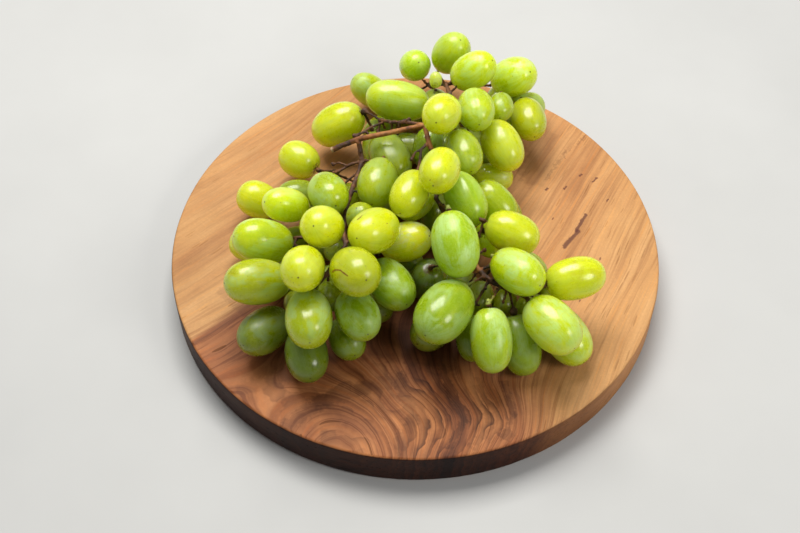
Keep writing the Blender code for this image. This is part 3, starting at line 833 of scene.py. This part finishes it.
# Bare spurs where berries were lost: points in millimetres above the board, start, end and knob radius.
TWIGLETS = (
    ((-8, 48, 41), (-8, 47, 37), (-9, 46, 35), 0.8, 0.8, 1.1),
    ((-12, 51, 38), (-12, 49, 35), (-13, 48, 32), 0.8, 0.8, 1.1),
    ((-10, 49, 40), (-6, 50, 40), (-3, 52, 39), 0.8, 0.8, 1.2),
    ((-26, 47, 36), (-24, 45, 35), (-23, 44, 34), 0.7, 0.7, 1.1),
    ((-19, 57, 33), (-17, 60, 28), (-16, 61, 24), 0.7, 0.6, 0.9),
    ((-29, 44, 36), (-30, 43, 36), (-31, 43, 36), 0.9, 0.9, 1.3),
    ((-36, 27, 29), (-40, 25, 28), (-43, 23, 27), 0.7, 0.7, 1.1),
    ((-35, 28, 30), (-39, 30, 30), (-42, 30, 29), 0.6, 0.6, 1.1),
    ((-29, 24, 29), (-34, 21, 27), (-37, 18, 25), 0.7, 0.6, 1.0),
    ((-32, 12, 29), (-28, 9, 31), (-26, 7, 32), 0.7, 0.6, 1.0),
    ((-30, 18, 29), (-27, 16, 28), (-25, 14, 26), 0.7, 0.6, 1.0),
    ((2, 21, 38), (1, 18, 37), (0, 16, 36), 0.8, 0.8, 1.2),
    ((3, 29, 41), (0, 27, 41), (-2, 24, 39), 0.6, 0.6, 1.0),
    ((17, 84, 33), (14, 85, 37), (12, 86, 39), 0.8, 0.7, 1.2),
    ((19, 76, 35), (22, 77, 38), (23, 78, 40), 0.7, 0.6, 1.1),
    ((20, 68, 36), (16, 69, 38), (14, 69, 39), 0.7, 0.6, 1.1),
    ((30, -37, 27), (36, -36, 29), (39, -36, 30), 0.8, 0.7, 1.3),
    ((27, -30, 28), (31, -29, 30), (33, -28, 31), 0.7, 0.6, 1.2),
    ((36, -44, 27), (38, -45, 31), (38, -46, 33), 0.7, 0.6, 1.0),
    ((43, -48, 26), (42, -52, 25), (41, -54, 24), 0.6, 0.6, 1.0),
)
# The thick runs whose bark is smooth and orange-brown: start and end in millimetres above the board.
SMOOTH_RUNS = (
    ((-31, 38, 38), (-29, 38, 39)), ((-29, 38, 39), (-2, 40, 45)), ((-2, 40, 45), (6, 42, 45)),
    ((21, -16, 29), (30, -36, 27)), ((6, 40, 45), (8, 31, 42)),
)
STALK_END = (-43, 36, 33)
# Berries whose pedicels are still green, and those whose collar is wide.
GREEN_PEDICELS = grapes(crown=(8, 22, 24), left=(3, 11, 17), right=(1, 3, 5, 6))
WIDE_COLLARS = grapes(crown=(1,), right=(4, 7))
# Collars at a berry: distance from its stem end and radius.
COLLAR_AT, COLLAR, WIDE_COLLAR = 0.0011, 0.00135, 0.0021
NECK_AT, NECK = 0.0026, 0.00105
SCAR_KNOBS = 150
LONGEST_DEEP_PEDICEL = 0.020
MELT_SIZE = 0.00036


def add_tube(work, points, start_radius, end_radius, sides=8):
    """Add a closed tube along the points."""
    places = [Vector(point) for point in points]
    rings = []
    side = None
    for index, place in enumerate(places):
        before = places[max(index - 1, 0)]
        after = places[min(index + 1, len(places) - 1)]
        ahead = (after - before).normalized()
        side = ahead.orthogonal() if side is None else side - ahead * side.dot(ahead)
        side.normalize()
        across = ahead.cross(side)
        radius = start_radius + (end_radius - start_radius) * index / (len(places) - 1)
        rings.append([
            work.verts.new(place + (side * math.cos(angle) + across * math.sin(angle)) * radius)
            for angle in (2 * math.pi * turn / sides for turn in range(sides))])
    close_walls(work, rings)
    work.faces.new(list(reversed(rings[0])))
    work.faces.new(rings[-1])


def add_knob(work, place, radius):
    """Add a small rough ball."""
    made = bmesh.ops.create_icosphere(work, subdivisions=2, radius=radius)
    for point in made["verts"]:
        point.co = Vector(place) + point.co * (1 + 0.2 * noise.noise(point.co * 900))


def deep_pedicel(berry, stem_points):
    """Give the points of a short pedicel from the stem to a deep berry."""
    end = Vector(berry.stem_end(0.0004))
    lead = Vector(berry.stem_end(0.003))
    root = Vector(stem_points[np.argmin(np.linalg.norm(stem_points - np.array(lead), axis=1))])
    return [root, root.lerp(lead, 0.5), lead, end]


def rough_stem(berries, deep, stem_points):
    """Lay out the CAD branches with spurs, deep pedicels, collars and knobs, all still apart."""
    work = bmesh.new()
    work.from_mesh(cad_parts["stem"].data)
    for *points, start_radius, end_radius, knob in TWIGLETS:
        places = [mm(*point) for point in points]
        add_tube(work, places, start_radius * MM, end_radius * MM)
        add_knob(work, places[-1], knob * MM)
    for berry in deep:
        points = deep_pedicel(berry, stem_points)
        if (points[0] - points[2]).length < LONGEST_DEEP_PEDICEL:
            add_tube(work, points, 0.0007, 0.0008)
    for berry in berries + deep:
        if berry.width > SHOT_WIDTH:
            add_knob(work, berry.stem_end(COLLAR_AT), WIDE_COLLAR if berry.name in WIDE_COLLARS else COLLAR)
            add_knob(work, berry.stem_end(NECK_AT), NECK)
    picker = np.random.default_rng(7)
    for index in picker.choice(len(stem_points), SCAR_KNOBS, replace=False):
        add_knob(work, stem_points[index], picker.uniform(0.0006, 0.0010))
    return mesh_from("stem_rough", work)


def melt_together(rough):
    """Melt the parts of the stem into one grown skin."""
    melt = link("stem_melt", rough)
    remesh = melt.modifiers.new("melt", "REMESH")
    remesh.mode = "VOXEL"
    remesh.voxel_size = MELT_SIZE
    relax = melt.modifiers.new("relax", "SMOOTH")
    relax.factor = 0.5
    relax.iterations = 2
    shown = melt.evaluated_get(bpy.context.evaluated_depsgraph_get())
    mesh = bpy.data.meshes.new_from_object(shown)
    bpy.data.objects.remove(melt, do_unlink=True)
    mesh.name = "stem_fine"
    return mesh


def read_points(mesh, kind):
    """Give the places or the normals of a mesh's points."""
    values = np.zeros(len(mesh.vertices) * 3)
    mesh.vertices.foreach_get(kind, values)
    return values.reshape(-1, 3)


def smooth_share(places):
    """Give how smooth the bark is: 1 on the thick runs, 0 away from them."""
    smooth_bark = np.zeros(len(places))
    for start, end in SMOOTH_RUNS:
        root = np.array(mm(*start))
        run = np.array(mm(*end)) - root
        share = np.clip((places - root) @ run / (run @ run), 0, 1)
        away = np.linalg.norm(places - root - share[:, None] * run, axis=1)
        smooth_bark = np.maximum(smooth_bark, np.clip((0.0032 - away) / 0.0012, 0, 1))
    return smooth_bark


def build_stem(berries, deep, stem_points):
    """Make the fine stem: melted together, roughened, with fresh pedicels and a pale cut marked on it."""
    mesh = melt_together(rough_stem(berries, deep, stem_points))
    places = read_points(mesh, "co")
    smooth_bark = smooth_share(places)
    swell = np.array([noise.noise(Vector(place) * 420) * 0.00034 + noise.noise(Vector(place) * 1100) * 0.00020
                      for place in places])
    places = places + read_points(mesh, "normal") * (swell * (1 - 0.7 * smooth_bark))[:, None]
    mesh.vertices.foreach_set("co", places.ravel())
    fresh = np.zeros(len(places))
    for berry in berries:
        if berry.name in GREEN_PEDICELS:
            distance = np.linalg.norm(places - berry.stem_end(), axis=1)
            fresh = np.maximum(fresh, np.clip(1.6 - distance / 0.0075, 0, 1) * (distance > 0.0016))
    from_cut = np.linalg.norm(places - np.array(mm(*STALK_END)), axis=1)
    mesh.shade_smooth()
    write_attribute(mesh, "fresh", fresh)
    write_attribute(mesh, "cut", np.clip(1.0 - (from_cut - 0.0013) / 0.0006, 0, 1))
    write_attribute(mesh, "smooth_bark", smooth_bark)
    return mesh


# ---------------------------------------------------------------- board

BOARD_SIDES = 256
BOARD_EASE = 0.0014
EASE_STEPS = 5
FACE_RINGS = (0.12, 0.3, 0.48, 0.66, 0.82, 0.93)
TOOL_WAVE = 0.00012
NICK_DEPTH = 0.00018


def board_profile(radius, thick):
    """Give the board's outline from the middle of its underside round the wall to the middle of its top."""
    ease = []
    for step in range(EASE_STEPS + 1):
        angle = math.pi / 2 * step / EASE_STEPS
        ease.append((radius - BOARD_EASE * (1 - math.sin(angle)), BOARD_EASE * (1 - math.cos(angle))))
    profile = [(radius * share, 0.0) for share in FACE_RINGS]
    profile += ease
    profile += [(radius, thick * share) for share in (0.3, 0.5, 0.7)]
    profile += [(reach, thick - height) for reach, height in reversed(ease)]
    profile += [(radius * share, thick) for share in reversed(FACE_RINGS)]
    return profile


def build_board():
    """Turn the board: flat faces with faint tool waviness, a straight wall and softly rounded edges."""
    low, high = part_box("board")
    radius = (high.x - low.x) / 2
    thick = high.z - low.z
    middle = Vector((low.x + radius, low.y + radius, 0))
    work = bmesh.new()
    rings = []
    for reach, height in board_profile(radius, thick):
        ring = []
        for turn in range(BOARD_SIDES):
            angle = 2 * math.pi * turn / BOARD_SIDES
            x = reach * math.cos(angle)
            y = reach * math.sin(angle)
            dip = nick = 0.0
            if height >= thick - BOARD_EASE:
                dip = TOOL_WAVE * (0.5 + 0.5 * noise.noise(Vector((x, y, 0)) * 30))
            if reach > radius * 0.97:
                nick = NICK_DEPTH * max(0.0, noise.noise(Vector((x, y, height)) * 70))
            inward = 1 - nick / radius
            ring.append(work.verts.new(middle + Vector((x * inward, y * inward, low.z + height - dip))))
        rings.append(ring)
    close_walls(work, rings)
    bottom = work.verts.new(middle + Vector((0, 0, low.z)))
    top = work.verts.new(middle + Vector((0, 0, high.z - TOOL_WAVE / 2)))
    for turn in range(BOARD_SIDES):
        after = (turn + 1) % BOARD_SIDES
        work.faces.new((bottom, rings[0][after], rings[0][turn]))
        work.faces.new((top, rings[-1][turn], rings[-1][after]))
    return mesh_from("board_fine", work)


# ---------------------------------------------------------------- stage

FLOOR_REACH = 3.0
FLOOR_DROP = 0.0003
LIT_HEIGHT = 0.03
CAMERA_AT = (-0.00775, -0.39611, BOARD_TOP + 0.49086)
CAMERA_TILT = 37.899
LENS = 55.0


def softbox(name, direction, distance, size, size_y, power, colour):
    """Hang a soft panel of light that faces the bunch."""
    lamp = bpy.data.lights.new(name, "AREA")
    lamp.shape = "RECTANGLE"
    lamp.size = size
    lamp.size_y = size_y
    lamp.energy = power
    lamp.color = colour
    item = link(name, lamp)
    way = Vector(direction).normalized()
    item.location = Vector((0, 0, LIT_HEIGHT)) + way * distance
    item.rotation_mode = "QUATERNION"
    item.rotation_quaternion = way.to_track_quat("Z", "Y")


def floor_material():
    """Plain pale floor."""
    material, bench, shader = new_material("pale floor")
    cloud = bench.noise(bench.place(), 6.0, 4.0, 0.6)
    tone = bench.ramp(cloud, ((0.3, (0.47, 0.47, 0.46)), (0.7, (0.51, 0.51, 0.50))))
    bench.feed(shader, {"Base Color": tone, "Roughness": 0.7})
    return material


def set_stage():
    """Lay the floor, hang the lights and stand the camera."""
    work = bmesh.new()
    bmesh.ops.create_grid(work, x_segments=2, y_segments=2, size=FLOOR_REACH)
    floor = add_object("floor", mesh_from("floor", work), floor_material())
    floor.location = (0, 0, -FLOOR_DROP)
    softbox("key window", (-0.12, 0.42, 0.90), 1.25, 0.90, 0.70, 21.5, (1.0, 0.985, 0.95))
    softbox("side window", (0.68, -0.42, 0.60), 1.15, 0.40, 0.40, 4.6, (1.0, 0.98, 0.95))
    world = bpy.data.worlds.new("studio")
    bpy.context.scene.world = world
    world.use_nodes = True
    background = world.node_tree.nodes["Background"]
    background.inputs["Color"].default_value = (0.96, 0.98, 1.0, 1.0)
    background.inputs["Strength"].default_value = 0.26
    lens = bpy.data.cameras.new("camera")
    lens.lens = LENS
    lens.sensor_width = 36.0
    lens.clip_start = 0.01
    camera = link("camera", lens)
    camera.location = CAMERA_AT
    camera.rotation_euler = (math.radians(CAMERA_TILT), 0, 0)
    bpy.context.scene.camera = camera
    bpy.context.scene.view_settings.view_transform = "Standard"


# ---------------------------------------------------------------- scars

# Brown scars on five berries: start and end of each stroke, to the right of and above the berry's middle
# as it is seen from the camera, and half width, in millimetres.
SCARS = {
    "grape_left_14": (((-10.2, 0.0), (-8.6, 0.9), 0.70), ((-8.6, 0.9), (-6.0, 0.6), 0.50),
                      ((-6.0, 0.6), (-4.3, -0.6), 0.45), ((-4.3, -0.6), (-2.7, -1.8), 0.50),
                      ((5.4, -1.4), (5.7, -1.5), 0.35)),
    "grape_left_08": (((-7.2, 4.9), (-6.1, 5.8), 0.50), ((-6.1, 5.8), (-5.2, 6.9), 0.35),
                      ((6.2, 3.2), (6.4, 3.2), 0.35), ((8.8, -3.0), (9.0, -3.0), 0.25)),
    "grape_left_02": (((1.5, 2.0), (1.8, 2.0), 0.35), ((5.0, -4.5), (6.2, -5.0), 0.40)),
    "grape_left_13": (((-3.9, -3.9), (-3.8, -3.9), 0.30), ((-4.5, -5.5), (-4.4, -5.5), 0.20)),
    "grape_crown_16": (((-5.0, -5.4), (-4.9, -5.4), 0.32),),
}
TOWARDS_CAMERA = Vector((0, -0.614, 0.789))
CAMERA_UP = Vector((0, 0.789, 0.614))


def on_skin(berry, right, up):
    """Give the place on a berry's skin that the camera sees right of and above its middle."""
    offset = np.array(Vector((right, 0, 0)) * MM + CAMERA_UP * up * MM)
    way = np.array(TOWARDS_CAMERA)
    shape = berry.inverse()
    a = way @ shape @ way
    b = 2 * way @ shape @ offset
    c = offset @ shape @ offset - 1
    return Vector(berry.centre + offset + way * (-b + math.sqrt(max(b * b - 4 * a * c, 0.0))) / (2 * a))


def scarred_skin(berry, item):
    """Give a scarred berry its own skin material, with the scars in the berry's own frame."""
    inward = item.matrix_basis.inverted()
    marks = [(inward @ on_skin(berry, *start), inward @ on_skin(berry, *end), width * MM)
             for start, end, width in SCARS[berry.name]]
    return skin_material(berry.name.replace("grape", "scarred skin"), marks)


# ---------------------------------------------------------------- assembly

def main():
    set_stage()
    stem_points = node_points("stem")
    rng = random.Random(4)
    skin = skin_material("grape skin")
    names = sorted(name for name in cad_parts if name.startswith("grape_"))
    berries = [measure_berry(name, stem_points) for name in names]
    deep = tuck_in(berries, stem_points)
    for berry in berries + deep:
        item = place_berry(berry, shape_berry(berry, rng), skin, rng)
        if berry.name in SCARS:
            item.data.materials[0] = scarred_skin(berry, item)
        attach(item, BODY)
        if berry.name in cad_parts:
            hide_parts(berry.name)
    stem = add_object("branched_stem", build_stem(berries, deep, stem_points), bark_material())
    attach(stem, BODY)
    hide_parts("stem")
    board = add_object("round_board", build_board(), wood_material())
    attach(board, BODY)
    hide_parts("board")
    print("deep berries settled:", len(deep), "of", len(DEEP_BERRIES))


main()
